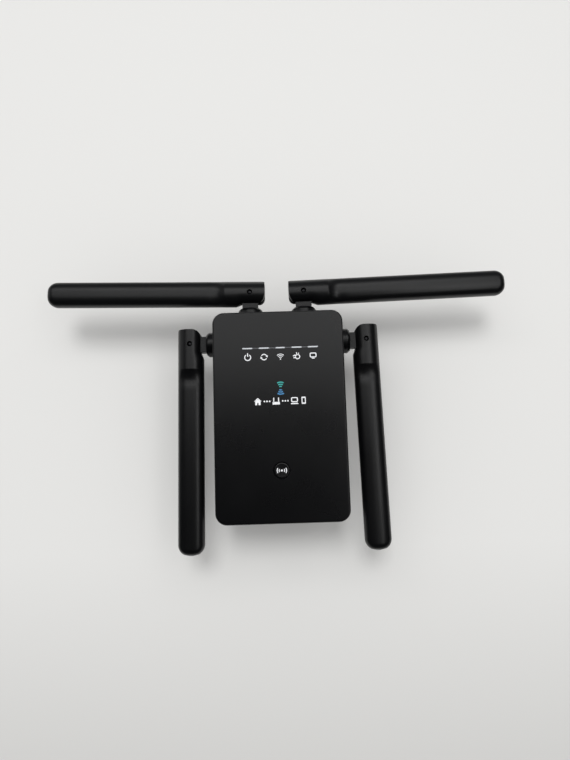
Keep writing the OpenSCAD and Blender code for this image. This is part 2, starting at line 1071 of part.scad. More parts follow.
module antenna_shell(i) {
  slot_r = tongue_w / 2 + slot_gap;
  slot_t = tongue_t / 2 + tongue_rib_h + body_gap;
  color("#232427")
    at_arm(i)
      difference() {
        arm_solid();
        block([-heel_reach - 1, -slot_t, -arm_w], [0, slot_t, slot_r]);
        block([-heel_reach - 1, -slot_t, -arm_w], [slot_r, slot_t, 0]);
        rod_y(slot_r, -slot_t, slot_t);
        rod_y(pin_r + touch_gap, -knuckle_t, knuckle_t);
        translate([slot_r - 1, 0, 0])
          rotate([0, 90, 0])
            cylinder(h = element_from - slot_r + 1 + eps, r = lead_bore_r);
        block(
          [element_from - cavity_gap, -element_t / 2 - cavity_gap, -element_w / 2 - cavity_gap],
          [
            element_from + element_len + cavity_gap,
            element_t / 2 + cavity_gap,
            element_w / 2 + cavity_gap
          ]
        );
      }
}

module hinge_pin(i) {
  color("#9b9ea3")
    at_arm(i)
      rod_y(pin_r, -knuckle_t / 2 + pin_sink, knuckle_t / 2 - pin_sink);
}

module antenna_element(i) {
  color("#2f6b45")
    at_arm(i)
      union() {
        block(
          [element_from, -element_t / 2, -element_w / 2],
          [element_from + element_len, element_t / 2, element_w / 2]
        );
        translate([tongue_w / 2 + 1, 0, 0])
          rotate([0, 90, 0])
            cylinder(h = element_from - tongue_w / 2, r = lead_r);
      }
}

front_cover();
rear_cover();
light_guide();
main_board();
wifi_shield();
thermal_pad();
heat_sink();
status_leds();
pair_switch();
reset_switch();
wan_jack();
lan_jack();
plug_carrier();
plug_blade_left();
plug_blade_right();
blade_contact_left();
blade_contact_right();
power_board();
transformer_core();
transformer_coil();
mains_capacitor();
output_capacitors();
fuse();
rectifier();
choke();
board_link();
case_screws();
board_screws();
power_screws();
rating_label();
antenna_lead(0);  // antenna_lead_top_left
antenna_lead(1);  // antenna_lead_top_right
antenna_lead(2);  // antenna_lead_side_left
antenna_lead(3);  // antenna_lead_side_right
pair_button();
pair_switch_stem();
reset_plunger();
antenna_base(0);  // antenna_base_top_left
antenna_base(1);  // antenna_base_top_right
antenna_base(2);  // antenna_base_side_left
antenna_base(3);  // antenna_base_side_right
retaining_ring(0);  // retaining_ring_top_left
retaining_ring(1);  // retaining_ring_top_right
retaining_ring(2);  // retaining_ring_side_left
retaining_ring(3);  // retaining_ring_side_right
antenna_shell(0);  // antenna_shell_top_left
antenna_shell(1);  // antenna_shell_top_right
antenna_shell(2);  // antenna_shell_side_left
antenna_shell(3);  // antenna_shell_side_right
hinge_pin(0);  // hinge_pin_top_left
hinge_pin(1);  // hinge_pin_top_right
hinge_pin(2);  // hinge_pin_side_left
hinge_pin(3);  // hinge_pin_side_right
antenna_element(0);  // antenna_element_top_left
antenna_element(1);  // antenna_element_top_right
antenna_element(2);  // antenna_element_side_left
antenna_element(3);  // antenna_element_side_right
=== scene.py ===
"""Plug-in wireless range extender: looks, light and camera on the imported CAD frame."""
import json
import math

import bmesh
import bpy
from mathutils import Matrix, Vector
from mathutils.geometry import tessellate_polygon


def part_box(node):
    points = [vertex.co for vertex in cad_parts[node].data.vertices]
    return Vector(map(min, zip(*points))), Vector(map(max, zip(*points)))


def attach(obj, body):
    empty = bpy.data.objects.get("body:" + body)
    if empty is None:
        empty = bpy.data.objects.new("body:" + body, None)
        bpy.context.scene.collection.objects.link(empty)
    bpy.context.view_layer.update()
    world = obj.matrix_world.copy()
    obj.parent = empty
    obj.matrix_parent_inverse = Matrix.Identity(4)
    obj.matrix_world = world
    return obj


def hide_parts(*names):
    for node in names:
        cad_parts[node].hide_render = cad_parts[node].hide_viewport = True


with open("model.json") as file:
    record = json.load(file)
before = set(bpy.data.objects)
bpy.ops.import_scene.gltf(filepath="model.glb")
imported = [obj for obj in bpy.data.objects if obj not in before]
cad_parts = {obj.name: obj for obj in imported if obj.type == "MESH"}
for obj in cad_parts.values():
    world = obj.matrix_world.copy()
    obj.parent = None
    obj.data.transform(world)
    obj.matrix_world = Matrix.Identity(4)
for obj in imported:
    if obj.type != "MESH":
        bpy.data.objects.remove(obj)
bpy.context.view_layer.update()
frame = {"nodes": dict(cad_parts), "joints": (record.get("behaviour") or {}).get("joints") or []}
MM = 0.001
HOUSING = "housing"
ARMS = ("top_left", "top_right", "side_left", "side_right")

# ---------------------------------------------------------------- sizes, in millimetres


def node_box_mm(*names):
    """Lowest and highest corner of the named CAD nodes together, in millimetres."""
    boxes = [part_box(name) for name in names]
    low = [min(b[0][k] for b in boxes) / MM for k in range(3)]
    high = [max(b[1][k] for b in boxes) / MM for k in range(3)]
    return low, high


COVER_LOW, COVER_HIGH = node_box_mm("front_cover")
BODY_W = COVER_HIGH[0] - COVER_LOW[0]
BODY_H = COVER_HIGH[2] - COVER_LOW[2]
MID_Z = (COVER_HIGH[2] + COVER_LOW[2]) / 2
FRONT_Y = COVER_LOW[1]
SKIRT_DEPTH = 7.0
SEAM_Y = FRONT_Y + SKIRT_DEPTH
WALL = 1.8
CORNER_R = 5.8
EDGE_R = 0.95
FACE_MARGIN = 0.6
SKIRT_CHAMFER = 0.15
INNER_Y = FRONT_Y + WALL
BUTTON_LOW, BUTTON_HIGH = node_box_mm("pair_button")
BUTTON_Z = (BUTTON_LOW[2] + BUTTON_HIGH[2]) / 2
BUTTON_R = 3.8
BUTTON_MOAT = 0.5
BUTTON_TOP_Y = FRONT_Y + 0.1
GUIDE_LOW, GUIDE_HIGH = node_box_mm("light_guide")
SLIT_Z = (GUIDE_LOW[2] + GUIDE_HIGH[2]) / 2
SLIT_W = 38.3
SLIT_H = 0.8
LED_PITCH = 8.2
CASE_POST_IN = (7.4, 6.0)
CASE_POST_Y = -12.0
BOARD_POST_X = 25.5
BOARD_POST_Z = (-33.0, 9.0)
POST_R = 2.6
POST_BORE_R = 1.15
POST_BORE_DEPTH = 9.0
PRINT_X = (GUIDE_LOW[0] + GUIDE_HIGH[0]) / 2


# ---------------------------------------------------------------- mesh helpers


def finish_mesh(mesh, angle=32.0):
    """Smooth shading with edges sharper than the angle kept crisp."""
    mesh.polygons.foreach_set("use_smooth", [True] * len(mesh.polygons))
    mesh.set_sharp_from_angle(angle=math.radians(angle))
    mesh.update()


def add_piece(name, verts, faces):
    """A new object from points in millimetres."""
    mesh = bpy.data.meshes.new(name)
    mesh.from_pydata([tuple(Vector(v) * MM) for v in verts], [], faces)
    mesh.validate()
    finish_mesh(mesh)
    obj = bpy.data.objects.new(name, mesh)
    bpy.context.scene.collection.objects.link(obj)
    return obj


def settle(obj, body, slot, material, *nodes):
    """Ride, material and the CAD nodes that the piece stands for; the slot argument is not used.
    """
    obj.data.materials.clear()
    obj.data.materials.append(material)
    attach(obj, body)
    if nodes:
        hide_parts(*nodes)
    return obj


def refined(node, width, segments=2):
    """A copy of a CAD node's mesh with its flat faces merged and its edges rounded."""
    name = node + "_body"
    mesh = frame["nodes"][node].data.copy()
    mesh.name = name
    bm = bmesh.new()
    bm.from_mesh(mesh)
    bmesh.ops.remove_doubles(bm, verts=bm.verts, dist=2e-6)
    flat = math.radians(0.6)
    bmesh.ops.dissolve_limit(bm, angle_limit=flat, verts=bm.verts, edges=bm.edges)
    bm.to_mesh(mesh)
    bm.free()
    obj = bpy.data.objects.new(name, mesh)
    bpy.context.scene.collection.objects.link(obj)
    bevel = obj.modifiers.new("round", "BEVEL")
    bevel.width = width * MM
    bevel.segments = segments
    bevel.limit_method = "ANGLE"
    bevel.angle_limit = math.radians(28)
    bevel.use_clamp_overlap = True
    apply_modifiers(obj)
    finish_mesh(obj.data, 35.0)
    flatten_shading(obj)
    return obj


def flatten_shading(obj):
    """Lets large faces rule the normals, so that flats shade flat next to round edges."""
    weigh = obj.modifiers.new("weigh", "WEIGHTED_NORMAL")
    weigh.mode = "FACE_AREA"
    weigh.weight = 50
    weigh.keep_sharp = True
    apply_modifiers(obj)


def apply_modifiers(obj):
    """Replaces the object's mesh with its evaluated mesh."""
    deps = bpy.context.evaluated_depsgraph_get()
    done = bpy.data.meshes.new_from_object(obj.evaluated_get(deps))
    obj.modifiers.clear()
    obj.data = done


def cut(obj, cutters):
    """Subtracts the cutter objects and removes them."""
    for tool in cutters:
        mod = obj.modifiers.new("cut", "BOOLEAN")
        mod.operation = "DIFFERENCE"
        mod.solver = "EXACT"
        mod.object = tool
        apply_modifiers(obj)
        bpy.data.objects.remove(tool, do_unlink=True)


class Builder:
    """Collects rings, strips and caps into one vertex and face list."""

    def __init__(self):
        self.verts = []
        self.faces = []

    def ring(self, points):
        """Adds a closed ring of points and returns its indices."""
        start = len(self.verts)
        self.verts.extend(points)
        return list(range(start, len(self.verts)))

    def join(self, a, b):
        """Quads between two rings of the same length."""
        count = len(a)
        for k in range(count):
            n = (k + 1) % count
            self.faces.append((a[k], a[n], b[n], b[k]))

    def loft(self, rings):
        """Rings joined in order; returns their indices."""
        ids = [self.ring(r) for r in rings]
        for a, b in zip(ids, ids[1:]):
            self.join(a, b)
        return ids

    def cap(self, ids, flip=False):
        """One face over a ring."""
        self.faces.append(tuple(reversed(ids)) if flip else tuple(ids))

    def sheet(self, loops, flip=False):
        """Triangles over an outline with holes; loops are lists of vertex indices."""
        flat = [v for loop in loops for v in loop]
        outline = [[Vector(self.verts[v]) for v in loop] for loop in loops]
        for tri in tessellate_polygon(outline):
            face = tuple(flat[t] for t in tri)
            self.faces.append(tuple(reversed(face)) if flip else face)


def rounded_rect(w, h, r, steps=10):
    """Counter-clockwise outline of a rounded rectangle as (x, z) pairs."""
    r = max(r, 1e-4)
    points = []
    for cx, cz, start in (
        (w / 2 - r, h / 2 - r, 0),
        (r - w / 2, h / 2 - r, 90),
        (r - w / 2, r - h / 2, 180),
        (w / 2 - r, r - h / 2, 270),
    ):
        for k in range(steps + 1):
            a = math.radians(start + 90 * k / steps)
            points.append((cx + r * math.cos(a), cz + r * math.sin(a)))
    return points


def circle_points(r, steps=48):
    """Counter-clockwise circle as (x, z) pairs."""
    return [
        (r * math.cos(2 * math.pi * k / steps), r * math.sin(2 * math.pi * k / steps))
        for k in range(steps)
    ]


def at_y(points, y, x0=0.0, z0=0.0):
    """Pairs (x, z) lifted to the plane y."""
    return [(x0 + x, y, z0 + z) for x, z in points]


# ---------------------------------------------------------------- materials


def node_tree(name):
    """A fresh material, its node tree and its shader node."""
    mat = bpy.data.materials.new(name)
    mat.use_nodes = True
    tree = mat.node_tree
    shader = next(n for n in tree.nodes if n.type == "BSDF_PRINCIPLED")
    return mat, tree, shader


def noise(tree, scale, detail=4.0, rough=0.55, stretch=None):
    """Noise over object coordinates; scale is features per metre."""
    coord = tree.nodes.new("ShaderNodeTexCoord")
    tex = tree.nodes.new("ShaderNodeTexNoise")
    tex.inputs["Scale"].default_value = scale
    tex.inputs["Detail"].default_value = detail
    tex.inputs["Roughness"].default_value = rough
    source = coord.outputs["Object"]
    if stretch:
        mapping = tree.nodes.new("ShaderNodeMapping")
        mapping.inputs["Scale"].default_value = stretch
        tree.links.new(source, mapping.inputs["Vector"])
        source = mapping.outputs["Vector"]
    tree.links.new(source, tex.inputs["Vector"])
    return tex.outputs["Fac"]


def ramp(tree, value, low, high, out_low, out_high):
    """Maps a value range onto another."""
    node = tree.nodes.new("ShaderNodeMapRange")
    node.inputs["From Min"].default_value = low
    node.inputs["From Max"].default_value = high
    node.inputs["To Min"].default_value = out_low
    node.inputs["To Max"].default_value = out_high
    tree.links.new(value, node.inputs["Value"])
    return node.outputs["Result"]


def blend_colours(tree, factor, a, b):
    """Colour mix driven by a factor; a and b are colours or sockets."""
    mix = tree.nodes.new("ShaderNodeMix")
    mix.data_type = "RGBA"
    tree.links.new(factor, mix.inputs["Factor"])
    for colour, socket in ((a, mix.inputs["A"]), (b, mix.inputs["B"])):
        if isinstance(colour, tuple):
            socket.default_value = (*colour, 1.0)
        else:
            tree.links.new(colour, socket)
    return mix.outputs["Result"]


def arithmetic(tree, operation, a, b=None):
    """A Math node; a is a socket, b a socket, a number or nothing."""
    node = tree.nodes.new("ShaderNodeMath")
    node.operation = operation
    tree.links.new(a, node.inputs[0])
    if isinstance(b, float):
        node.inputs[1].default_value = b
    elif b is not None:
        tree.links.new(b, node.inputs[1])
    return node.outputs["Value"]


def edge_mask(tree):
    """About 1 on convex edges and 0 on flats."""
    geometry = tree.nodes.new("ShaderNodeNewGeometry")
    return ramp(tree, geometry.outputs["Pointiness"], 0.52, 0.6, 0.0, 1.0)


def bump(tree, shader, height, distance):
    """Bump from a height socket, in millimetres of distance."""
    node = tree.nodes.new("ShaderNodeBump")
    node.inputs["Distance"].default_value = distance * MM
    node.inputs["Strength"].default_value = 1.0
    tree.links.new(height, node.inputs["Height"])
    tree.links.new(node.outputs["Normal"], shader.inputs["Normal"])


def plastic(
    name,
    colour,
    rough=0.5,
    spread=0.08,
    grain=2600.0,
    depth=0.012,
    tint=0.12,
    edge=0.25,
):
    """Moulded plastic: fine grain, faint cloudiness, and convex edges painted lighter as a painted
    highlight where edge is set.
    """
    mat, tree, shader = node_tree(name)
    cloud = noise(tree, 45.0, 3.0)
    fine = noise(tree, grain, 2.0, 0.6)
    dark = tuple(c * (1 - tint) for c in colour)
    light = tuple(min(1.0, c * (1 + tint)) for c in colour)
    base = blend_colours(tree, ramp(tree, cloud, 0.3, 0.7, 0.0, 1.0), dark, light)
    # Convex edges painted lighter: a painted highlight, scaled by edge.
    if edge > 0:
        edge_highlight = tuple(min(1.0, c * (1 + 2.5 * edge) + 0.02 * edge) for c in colour)
        base = blend_colours(tree, edge_mask(tree), base, edge_highlight)
    tree.links.new(base, shader.inputs["Base Color"])
    mixed = blend_colours(tree, cloud, (rough - spread,) * 3, (rough + spread,) * 3)
    tree.links.new(mixed, shader.inputs["Roughness"])
    bump(tree, shader, fine, depth)
    return mat


def metal(name, colour, rough=0.3, spread=0.1, brushed=(1.0, 1.0, 14.0), depth=0.006):
    """Plain or plated metal with drawn streaks and small stains."""
    mat, tree, shader = node_tree(name)
    streak = noise(tree, 380.0, 3.0, 0.6, brushed)
    stain = noise(tree, 120.0, 4.0)
    dark = tuple(c * 0.72 for c in colour)
    base = blend_colours(tree, ramp(tree, stain, 0.35, 0.75, 0.0, 1.0), colour, dark)
    tree.links.new(base, shader.inputs["Base Color"])
    shader.inputs["Metallic"].default_value = 1.0
    mixed = blend_colours(tree, streak, (rough - spread,) * 3, (rough + spread,) * 3)
    tree.links.new(mixed, shader.inputs["Roughness"])
    bump(tree, shader, streak, depth)
    return mat


def printed(name, colour):
    """Pad-printed ink: slightly uneven cover and a faint orange-peel surface."""
    mat, tree, shader = node_tree(name)
    cover = noise(tree, 1500.0, 3.0, 0.7)
    thin = tuple(c * 0.8 for c in colour)
    base = blend_colours(tree, ramp(tree, cover, 0.35, 0.6, 0.0, 1.0), thin, colour)
    tree.links.new(base, shader.inputs["Base Color"])
    mixed = blend_colours(tree, cover, (0.35,) * 3, (0.55,) * 3)
    tree.links.new(mixed, shader.inputs["Roughness"])
    bump(tree, shader, cover, 0.01)
    return mat


def circuit_board(name, colour):
    """Solder mask with faint copper tracks under it."""
    mat, tree, shader = node_tree(name)
    coord = tree.nodes.new("ShaderNodeTexCoord")
    brick = tree.nodes.new("ShaderNodeTexBrick")
    brick.inputs["Scale"].default_value = 260.0
    brick.inputs["Mortar Size"].default_value = 0.06
    tracks = tuple(min(1.0, c * 1.9 + 0.02) for c in colour)
    brick.inputs["Color1"].default_value = (*colour, 1)
    brick.inputs["Color2"].default_value = (*tuple(c * 0.8 for c in colour), 1)
    brick.inputs["Mortar"].default_value = (*tracks, 1)
    swap = tree.nodes.new("ShaderNodeMapping")
    swap.inputs["Rotation"].default_value = (math.pi / 2, 0, 0)
    tree.links.new(coord.outputs["Object"], swap.inputs["Vector"])
    tree.links.new(swap.outputs["Vector"], brick.inputs["Vector"])
    tree.links.new(brick.outputs["Color"], shader.inputs["Base Color"])
    wave = noise(tree, 900.0)
    mixed = blend_colours(tree, wave, (0.22,) * 3, (0.42,) * 3)
    tree.links.new(mixed, shader.inputs["Roughness"])
    bump(tree, shader, brick.outputs["Fac"], 0.03)
    return mat


def guide_material():
    """Milky light strip: bright lens in front of each lamp, dim clear plastic between."""
    mat, tree, shader = node_tree("light_guide_strip")
    coord = tree.nodes.new("ShaderNodeTexCoord")
    split = tree.nodes.new("ShaderNodeSeparateXYZ")
    tree.links.new(coord.outputs["Object"], split.inputs["Vector"])
    centred = arithmetic(tree, "SUBTRACT", split.outputs["X"], PRINT_X * MM)
    turn = arithmetic(tree, "MULTIPLY", centred, 2 * math.pi / (LED_PITCH * MM))
    wave = arithmetic(tree, "COSINE", turn)
    speck = noise(tree, 900.0, 3.0, 0.7, (0.35, 1.0, 1.0))
    total = arithmetic(tree, "ADD", wave, ramp(tree, speck, 0.3, 0.7, -0.35, 0.35))
    lens = ramp(tree, total, -0.45, -0.05, 0.0, 1.0)
    base = blend_colours(tree, lens, (0.045, 0.047, 0.052), (0.5, 0.52, 0.55))
    tree.links.new(base, shader.inputs["Base Color"])
    mixed = blend_colours(tree, speck, (0.16,) * 3, (0.34,) * 3)
    tree.links.new(mixed, shader.inputs["Roughness"])
    shader.inputs["Coat Weight"].default_value = 0.5
    bump(tree, shader, speck, 0.02)
    return mat


CASE = plastic("case_charcoal_satin", (0.0016, 0.0017, 0.0021), 0.28, 0.03, 3200, 0.005, 0.1, 0)
REAR = plastic("case_rear_grain", (0.004, 0.0041, 0.0048), 0.42, 0.05, 2300, 0.012, 0.1, 0)
ARM = plastic("antenna_soft_touch", (0.002, 0.0021, 0.0025), 0.33, 0.04, 3600, 0.005, 0.12, 0.15)
FOOT = plastic("antenna_foot_black", (0.002, 0.0021, 0.0025), 0.33, 0.05, 2600, 0.007, 0.1, 0)
BUTTON = plastic("button_satin", (0.0025, 0.0026, 0.003), 0.3, 0.03, 3400, 0.005, 0.1, 0)
SWITCH = plastic("switch_black", (0.03, 0.03, 0.032), 0.5)
SOCKET = plastic("socket_grey", (0.09, 0.093, 0.1), 0.42)
CARRIER = plastic("plug_block_black", (0.012, 0.0123, 0.0135), 0.48, 0.06, 2000, 0.015, 0.12, 0)
STEM = plastic("stem_ivory", (0.62, 0.61, 0.56), 0.45)
LEAD = plastic("lead_jacket", (0.02, 0.02, 0.021), 0.6)
PAD = plastic("thermal_pad_blue", (0.3, 0.4, 0.55), 0.75, 0.08, 900, 0.05)
CERAMIC = plastic("fuse_ceramic", (0.66, 0.62, 0.5), 0.35, 0.08, 700, 0.02)
SLEEVE = plastic("capacitor_sleeve", (0.05, 0.09, 0.17), 0.3)
TAPE = plastic("coil_tape_yellow", (0.62, 0.42, 0.07), 0.32, 0.08, 500, 0.03)
WIRE = plastic("coil_wire_enamel", (0.3, 0.12, 0.04), 0.28, 0.08, 1500, 0.06)
LED = plastic("led_lens", (0.75, 0.72, 0.55), 0.2)
LABEL = plastic("blank_foil_label", (0.36, 0.37, 0.385), 0.38, 0.06, 500, 0.01)
FERRITE = plastic("ferrite_core", (0.035, 0.034, 0.034), 0.6, 0.1, 1200, 0.03)
BLADE = metal("blade_nickel", (0.72, 0.7, 0.64), 0.3, 0.05, (1.0, 0.1, 1.0), 0.002)
CONTACT = metal("contact_copper", (0.75, 0.45, 0.25), 0.3)
STEEL = metal("screw_zinc", (0.5, 0.5, 0.51), 0.35)
DARK_STEEL = metal("hinge_pin_dark", (0.035, 0.035, 0.038), 0.35)
SHIELD = metal("shield_tin", (0.66, 0.67, 0.68), 0.3)
SINK = metal("sink_aluminium", (0.6, 0.61, 0.62), 0.38)
BOARD = circuit_board("board_green", (0.02, 0.11, 0.05))
GUIDE = guide_material()
INK = printed("ink_white", (0.8, 0.81, 0.83))
INK_TEAL = printed("ink_teal", (0.03, 0.36, 0.33))
INK_BLUE = printed("ink_blue", (0.05, 0.22, 0.45))

CAD_MATERIALS = {
    "main_board": BOARD,
    "power_board": BOARD,
    "wifi_shield": SHIELD,
    "thermal_pad": PAD,
    "heat_sink": SINK,
    "status_leds": LED,
    "pair_switch": SWITCH,
    "reset_switch": SWITCH,
    "blade_contact_left": CONTACT,
    "blade_contact_right": CONTACT,
    "transformer_core": FERRITE,
    "transformer_coil": TAPE,
    "mains_capacitor": SLEEVE,
    "output_capacitors": SLEEVE,
    "fuse": CERAMIC,
    "rectifier": SWITCH,
    "choke": WIRE,
    "board_link": SOCKET,
    "board_screws": STEEL,
    "power_screws": STEEL,
    "pair_switch_stem": STEM,
    "reset_plunger": STEM,
}
for arm in ARMS:
    CAD_MATERIALS["antenna_lead_" + arm] = LEAD
    CAD_MATERIALS["retaining_ring_" + arm] = STEEL
    CAD_MATERIALS["antenna_element_" + arm] = BOARD

for node_name, material in CAD_MATERIALS.items():
    obj = frame["nodes"][node_name]
    for entry in obj.material_slots:
        entry.material = material


# ---------------------------------------------------------------- housing


def build_front_cover():
    """Front shell: rounded edge all round, button hole and light slit."""
    b = Builder()
    steps = 7
    skirt_w, skirt_h = BODY_W - 2 * SKIRT_CHAMFER, BODY_H - 2 * SKIRT_CHAMFER
    skirt = rounded_rect(skirt_w, skirt_h, CORNER_R - SKIRT_CHAMFER)
    outer = [at_y(skirt, SEAM_Y, 0, MID_Z)]
    outer.append(at_y(rounded_rect(BODY_W, BODY_H, CORNER_R), SEAM_Y - SKIRT_CHAMFER, 0, MID_Z))
    for k in range(steps + 1):
        a = math.radians(90 * k / steps)
        inset = EDGE_R * (1 - math.cos(a))
        y = FRONT_Y + EDGE_R * (1 - math.sin(a))
        outline = rounded_rect(BODY_W - 2 * inset, BODY_H - 2 * inset, CORNER_R - inset)
        outer.append(at_y(outline, y, 0, MID_Z))
    ids = b.loft(outer)
    skirt_end, face_edge = ids[0], ids[-1]
    inner_outline = rounded_rect(BODY_W - 2 * WALL, BODY_H - 2 * WALL, CORNER_R - WALL)
    inner = b.loft([at_y(inner_outline, SEAM_Y, 0, MID_Z), at_y(inner_outline, INNER_Y, 0, MID_Z)])
    b.join(inner[0], skirt_end)
    holes_front, holes_back = [], []
    for rings in (
        [
            at_y(circle_points(BUTTON_R + BUTTON_MOAT), FRONT_Y, 0, BUTTON_Z),
            at_y(circle_points(BUTTON_R), FRONT_Y + BUTTON_MOAT, 0, BUTTON_Z),
            at_y(circle_points(BUTTON_R), INNER_Y, 0, BUTTON_Z),
        ],
        [
            at_y(rounded_rect(SLIT_W + 0.2, SLIT_H + 0.2, 0.3, 5), FRONT_Y, PRINT_X, SLIT_Z),
            at_y(rounded_rect(SLIT_W, SLIT_H, 0.2, 5), FRONT_Y + 0.1, PRINT_X, SLIT_Z),
            at_y(rounded_rect(SLIT_W, SLIT_H, 0.2, 5), INNER_Y, PRINT_X, SLIT_Z),
        ],
    ):
        hole = b.loft(rings)
        holes_front.append(hole[0])
        holes_back.append(hole[-1])
    inset = EDGE_R + FACE_MARGIN
    flat_outline = rounded_rect(BODY_W - 2 * inset, BODY_H - 2 * inset, CORNER_R - inset)
    flat_edge = b.ring(at_y(flat_outline, FRONT_Y, 0, MID_Z))
    b.join(face_edge, flat_edge)
    b.sheet([flat_edge] + holes_front)
    b.sheet([inner[1]] + holes_back, flip=True)
    for x, z, end in front_posts():
        tube = [(POST_BORE_R, max(end - POST_BORE_DEPTH, INNER_Y)), (POST_BORE_R, end)]
        tube += [(POST_R, end), (POST_R, INNER_Y)]
        b.loft([at_y(circle_points(r, 32), y, x, z) for r, y in tube])
    obj = add_piece("front_cover_shell", b.verts, b.faces)
    tidy_normals(obj)
    flatten_shading(obj)
    settle(obj, HOUSING, "case_black", CASE, "front_cover")


def front_posts():
    """Screw posts behind the front: x, z and the y of their ends."""
    posts = []
    for sx in (-1, 1):
        for sz in (-1, 1):
            x = sx * (BODY_W / 2 - CASE_POST_IN[0])
            posts.append((x, MID_Z + sz * (BODY_H / 2 - CASE_POST_IN[1]), CASE_POST_Y))
        for z in BOARD_POST_Z:
            posts.append((sx * BOARD_POST_X, z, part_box("main_board")[0][1] / MM))
    return posts


def tidy_normals(obj):
    """Welds coincident points and turns every face outwards."""
    bm = bmesh.new()
    bm.from_mesh(obj.data)
    bmesh.ops.remove_doubles(bm, verts=bm.verts, dist=1e-7)
    bmesh.ops.recalc_face_normals(bm, faces=bm.faces)
    bm.to_mesh(obj.data)
    bm.free()
    finish_mesh(obj.data)


build_front_cover()

# node, edge radius in millimetres, steps round the edge, slot, material
OUTSIDE_PIECES = (
    ("rear_cover", 0.25, 2, "case_black", REAR),
    ("light_guide", 0.08, 1, "light_white", GUIDE),
    ("plug_carrier", 0.3, 3, "case_black", CARRIER),
    ("plug_blade_left", 0.18, 2, "blade_nickel", BLADE),
    ("plug_blade_right", 0.18, 2, "blade_nickel", BLADE),
    ("wan_jack", 0.2, 2, "socket_grey", SOCKET),
    ("lan_jack", 0.2, 2, "socket_grey", SOCKET),
    ("case_screws", 0.1, 2, "screw_steel", STEEL),
    ("rating_label", 0.03, 1, "label_silver", LABEL),
)
for node_name, width, segments, slot, material in OUTSIDE_PIECES:
    settle(refined(node_name, width, segments), HOUSING, slot, material, node_name)


# ---------------------------------------------------------------- button


def build_button():
    """Round cap: shallow dish, raised rim and a flange behind the wall."""
    top = BUTTON_TOP_Y
    rim = BUTTON_R - 0.06
    flange = rim + 0.9
    flange_y = INNER_Y + 0.3
    dish = [(0.02, top + 0.14), (rim - 1.6, top + 0.12), (rim - 0.75, top + 0.06)]
    raised = [(rim - 0.62, top + 0.05), (rim - 0.55, top - 0.01), (rim - 0.3, top - 0.02)]
    side = [(rim - 0.08, top + 0.06), (rim, top + 0.25), (rim, flange_y), (flange, flange_y)]
    back = [(flange, flange_y + 0.8), (1.2, flange_y + 0.8), (1.2, flange_y + 1.1)]
    path = dish + raised + side + back + [(0.02, flange_y + 1.1)]
    b = Builder()
    ids = b.loft([at_y(circle_points(r, 64), y, 0, BUTTON_Z) for r, y in path])
    b.cap(ids[0], flip=True)
    b.cap(ids[-1])
    obj = add_piece("pair_button_cap", b.verts, b.faces)
    tidy_normals(obj)
    settle(obj, "pair_key", "button_black", BUTTON, "pair_button")


build_button()


# ---------------------------------------------------------------- antennas

# Millimetres in the arm's own frame: the pin at 0, the tip at ARM_REACH.
ARM_REACH = 107.3
ARM_HALF_W = 6.75
ARM_HALF_T = 4.5
HEEL = 7.7
KNUCKLE_SIDE = 5.6
KNUCKLE_HALF_T = 5.9
KNUCKLE_POWER = 2.2
PADDLE_POWER = 2.5
KNUCKLE_END = 13.0
PADDLE_START = 24.0
SCOOP_LEN = 9.0
SCOOP_DIP = 0.45
SHOULDER = (4.5, 7.4)
HEEL_ROUND = 4.3
HEEL_EDGE = 1.2
HEEL_INSET = 0.94
TIP_R = 5.6
TIP_SIDE_R = 3.6
SECTION_STEPS = 96
SLOT_HALF_T = 2.7
CLEAR_OF_ARM = 12.0
PIN_HOLE_R = 1.3
PIN_HOLE_MOUTH = ((1.75, 7.0), (1.5, 5.95), (PIN_HOLE_R, 5.75))


def arm_frame(arm):
    """Millimetre matrix from the arm's own frame (pin at 0, +X to the tip) to the row frame."""
    joint = next(j for j in frame["joints"] if j["name"] == arm + "_fold")
    pin = Vector(joint["pos_m"]) / MM
    fold = joint["range_deg"][1]
    left = arm.endswith("left")
    mirror = Matrix.Scale(-1, 4, (1, 0, 0)) if left else Matrix.Identity(4)
    tilt = Matrix.Rotation(math.radians(fold - 90), 4, "Y")
    if arm.startswith("top"):
        turn = Matrix.Identity(4)
    else:
        turn = Matrix.Rotation(math.radians(-90 if left else 90), 4, "Y")
    return Matrix.Translation(pin) @ turn @ mirror @ tilt


def oval_reach(c, s, half_t, high, low, power):
    """Distance to the arm's skin: a superellipse whose two sides may differ."""
    half_w = high if s >= 0 else low
    return (abs(c / half_t) ** power + abs(s / half_w) ** power) ** (-1 / power)


def arm_section(u):
    """Closed ring of the arm at the distance u from the pin."""
    points = []
    tip_plan = max(0.0, (u - (ARM_REACH - TIP_R)) / TIP_R)
    tip_side = max(0.0, (u - (ARM_REACH - TIP_SIDE_R)) / TIP_SIDE_R)
    half_w = ARM_HALF_W - TIP_R * (1 - math.sqrt(max(0.0, 1 - tip_plan**2)))
    half_t = ARM_HALF_T - TIP_SIDE_R * (1 - math.sqrt(max(0.0, 1 - tip_side**2)))
    rise = min(1.0, max(0.0, (u - SHOULDER[0]) / (SHOULDER[1] - SHOULDER[0])))
    low = min(half_w, KNUCKLE_SIDE + (ARM_HALF_W - KNUCKLE_SIDE) * rise)
    fade = min(1.0, max(0.0, (u - KNUCKLE_END) / SCOOP_LEN))
    dip = SCOOP_DIP * math.sin(math.pi * fade)
    for k in range(SECTION_STEPS):
        a = 2 * math.pi * k / SECTION_STEPS
        c, s = math.cos(a), math.sin(a)
        reach = oval_reach(c, s, KNUCKLE_HALF_T, half_w, low, KNUCKLE_POWER)
        if fade > 0:
            plate = oval_reach(c, s, half_t - dip, half_w, low, PADDLE_POWER)
            reach = plate + max(0.0, reach - plate) * (1 - fade) ** 3
        if u < 0:
            reach = min(reach, heel_limit(u, s))
        points.append((u, reach * c, reach * s))
    return points


